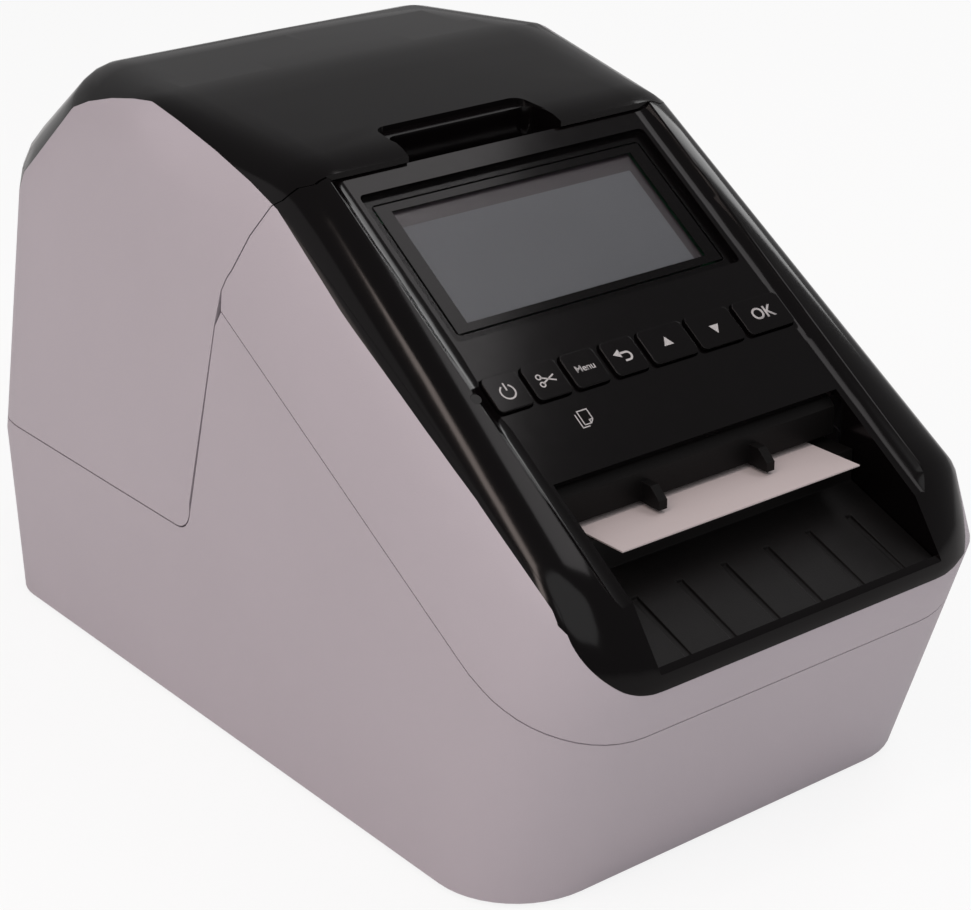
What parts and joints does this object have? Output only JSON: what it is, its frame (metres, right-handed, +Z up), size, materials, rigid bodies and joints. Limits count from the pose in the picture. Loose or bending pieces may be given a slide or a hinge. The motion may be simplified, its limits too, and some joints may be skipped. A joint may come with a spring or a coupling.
{
  "type": "label printer",
  "caption": "Desktop label printer: sloping black panel with display and keys, label recess in front, lift-up roll cover, sockets at the back.",
  "frame": {"origin": "middle of the footprint, on the surface the rubber feet stand on", "axes": "+X right as seen from the front, +Y to the back, +Z up; the label comes out towards -Y"},
  "size_m": [0.1254, 0.234, 0.1449],
  "materials": {
    "white_shell": "fine matte, warm light grey",
    "gloss_black": "polished",
    "matte_black": "fine texture",
    "display_window": "polished clear front over a dark mask",
    "display_dark": "dark panel",
    "board_green": "solder mask",
    "lamp": "frosted",
    "rubber": "matte",
    "steel": "plain",
    "brass": "plain",
    "acetal": "moulded",
    "motor_can": "plated",
    "supply_can": "plain",
    "head_ceramic": "ceramic",
    "label_paper": "coated paper",
    "spool_plastic": "moulded"
  },
  "bodies": {
    "case": {"lower_case": "white_shell", "base_plate": "matte_black", "rubber_feet": "rubber", "base_screws": "steel", "front_bezel": "white_shell", "front_panel": "gloss_black", "display_lens": "display_window", "lcd_module": "display_dark", "control_board": "board_green", "status_lamp": "lamp", "exit_guide": "matte_black", "output_tray": "matte_black", "hinge_pins": "steel", "roll_cradle": "matte_black", "label_web": "label_paper", "platen_bushes": "brass", "idler_stud": "steel", "feed_motor": "motor_can", "chassis": "steel", "head_pivot": "steel", "fixed_blade": "steel", "cutter_motor": "motor_can", "main_board": "board_green", "power_supply": "supply_can", "power_inlet": "matte_black", "usb_device_port": "steel", "usb_host_port": "steel", "network_port": "matte_black"},
    "power_button": {"power_key": "gloss_black"},
    "cut_button": {"cut_key": "gloss_black"},
    "menu_button": {"menu_key": "gloss_black"},
    "back_button": {"back_key": "gloss_black"},
    "up_button": {"up_key": "gloss_black"},
    "down_button": {"down_key": "gloss_black"},
    "ok_button": {"ok_key": "gloss_black"},
    "cover": {"cover_shell": "white_shell", "cover_top": "gloss_black"},
    "roll": {"label_roll": "label_paper", "roll_spool": "spool_plastic"},
    "platen": {"platen_roller": "rubber", "platen_shaft": "steel", "platen_gear": "acetal"},
    "idler": {"idler_gear": "acetal"},
    "feed_pinion": {"motor_pinion": "brass"},
    "head": {"print_head": "head_ceramic", "head_bracket": "steel"},
    "blade": {"moving_blade": "steel"},
    "blade_drive": {"cutter_pinion": "brass"},
    "label": {"printed_label": "label_paper"}
  },
  "joints": [
    {"name": "power_press", "type": "slide", "parent": "case", "child": "power_button", "axis": [0, 0.5706, -0.8212], "range_m": [0, 0.0006], "stiffness_N_per_m": 400, "springref_m": -0.0004},
    {"name": "cut_press", "type": "slide", "parent": "case", "child": "cut_button", "axis": [0, 0.5706, -0.8212], "range_m": [0, 0.0006], "stiffness_N_per_m": 400, "springref_m": -0.0004},
    {"name": "menu_press", "type": "slide", "parent": "case", "child": "menu_button", "axis": [0, 0.5706, -0.8212], "range_m": [0, 0.0006], "stiffness_N_per_m": 400, "springref_m": -0.0004},
    {"name": "back_press", "type": "slide", "parent": "case", "child": "back_button", "axis": [0, 0.5706, -0.8212], "range_m": [0, 0.0006], "stiffness_N_per_m": 400, "springref_m": -0.0004},
    {"name": "up_press", "type": "slide", "parent": "case", "child": "up_button", "axis": [0, 0.5706, -0.8212], "range_m": [0, 0.0006], "stiffness_N_per_m": 400, "springref_m": -0.0004},
    {"name": "down_press", "type": "slide", "parent": "case", "child": "down_button", "axis": [0, 0.5706, -0.8212], "range_m": [0, 0.0006], "stiffness_N_per_m": 400, "springref_m": -0.0004},
    {"name": "ok_press", "type": "slide", "parent": "case", "child": "ok_button", "axis": [0, 0.5706, -0.8212], "range_m": [0, 0.0006], "stiffness_N_per_m": 400, "springref_m": -0.0004},
    {"name": "cover_hinge", "type": "hinge", "parent": "case", "child": "cover", "pos_m": [0, 0.112, 0.0505], "axis": [-1, 0, 0], "range_deg": [0, 75]},
    {"name": "roll_spin", "type": "hinge", "parent": "case", "child": "roll", "pos_m": [0, 0.048, 0.072], "axis": [1, 0, 0], "continuous": true},
    {"name": "platen_spin", "type": "hinge", "parent": "case", "child": "platen", "pos_m": [0, -0.05207, 0.0698], "axis": [1, 0, 0], "continuous": true},
    {"name": "idler_spin", "type": "hinge", "parent": "case", "child": "idler", "pos_m": [0.0425, -0.03812, 0.05318], "axis": [1, 0, 0], "continuous": true},
    {"name": "feed_pinion_spin", "type": "hinge", "parent": "case", "child": "feed_pinion", "pos_m": [0.0425, -0.03316, 0.03955], "axis": [1, 0, 0], "continuous": true},
    {"name": "head_lift", "type": "hinge", "parent": "case", "child": "head", "pos_m": [0, -0.03159, 0.09], "axis": [-1, 0, 0], "range_deg": [0, 4]},
    {"name": "blade_pinion_turn", "type": "hinge", "parent": "case", "child": "blade_drive", "pos_m": [-0.02, -0.0702, 0.04], "axis": [0, -1, 0], "range_deg": [0, 48]},
    {"name": "blade_lift", "type": "slide", "parent": "case", "child": "blade", "axis": [0, 0, 1], "range_m": [0, 0.004]},
    {"name": "label_out", "type": "slide", "parent": "case", "child": "label", "axis": [0, -1, 0], "range_m": [0, 0.05]}
  ],
  "couplings": [
    {"joint": "idler_spin", "follows": "platen_spin", "ratio": -1.25},
    {"joint": "feed_pinion_spin", "follows": "platen_spin", "ratio": 2.5},
    {"joint": "head_lift", "follows": "cover_hinge", "ratio": 0.05},
    {"joint": "blade_pinion_turn", "follows": "blade_lift", "rad_per_m": 208.33}
  ]
}
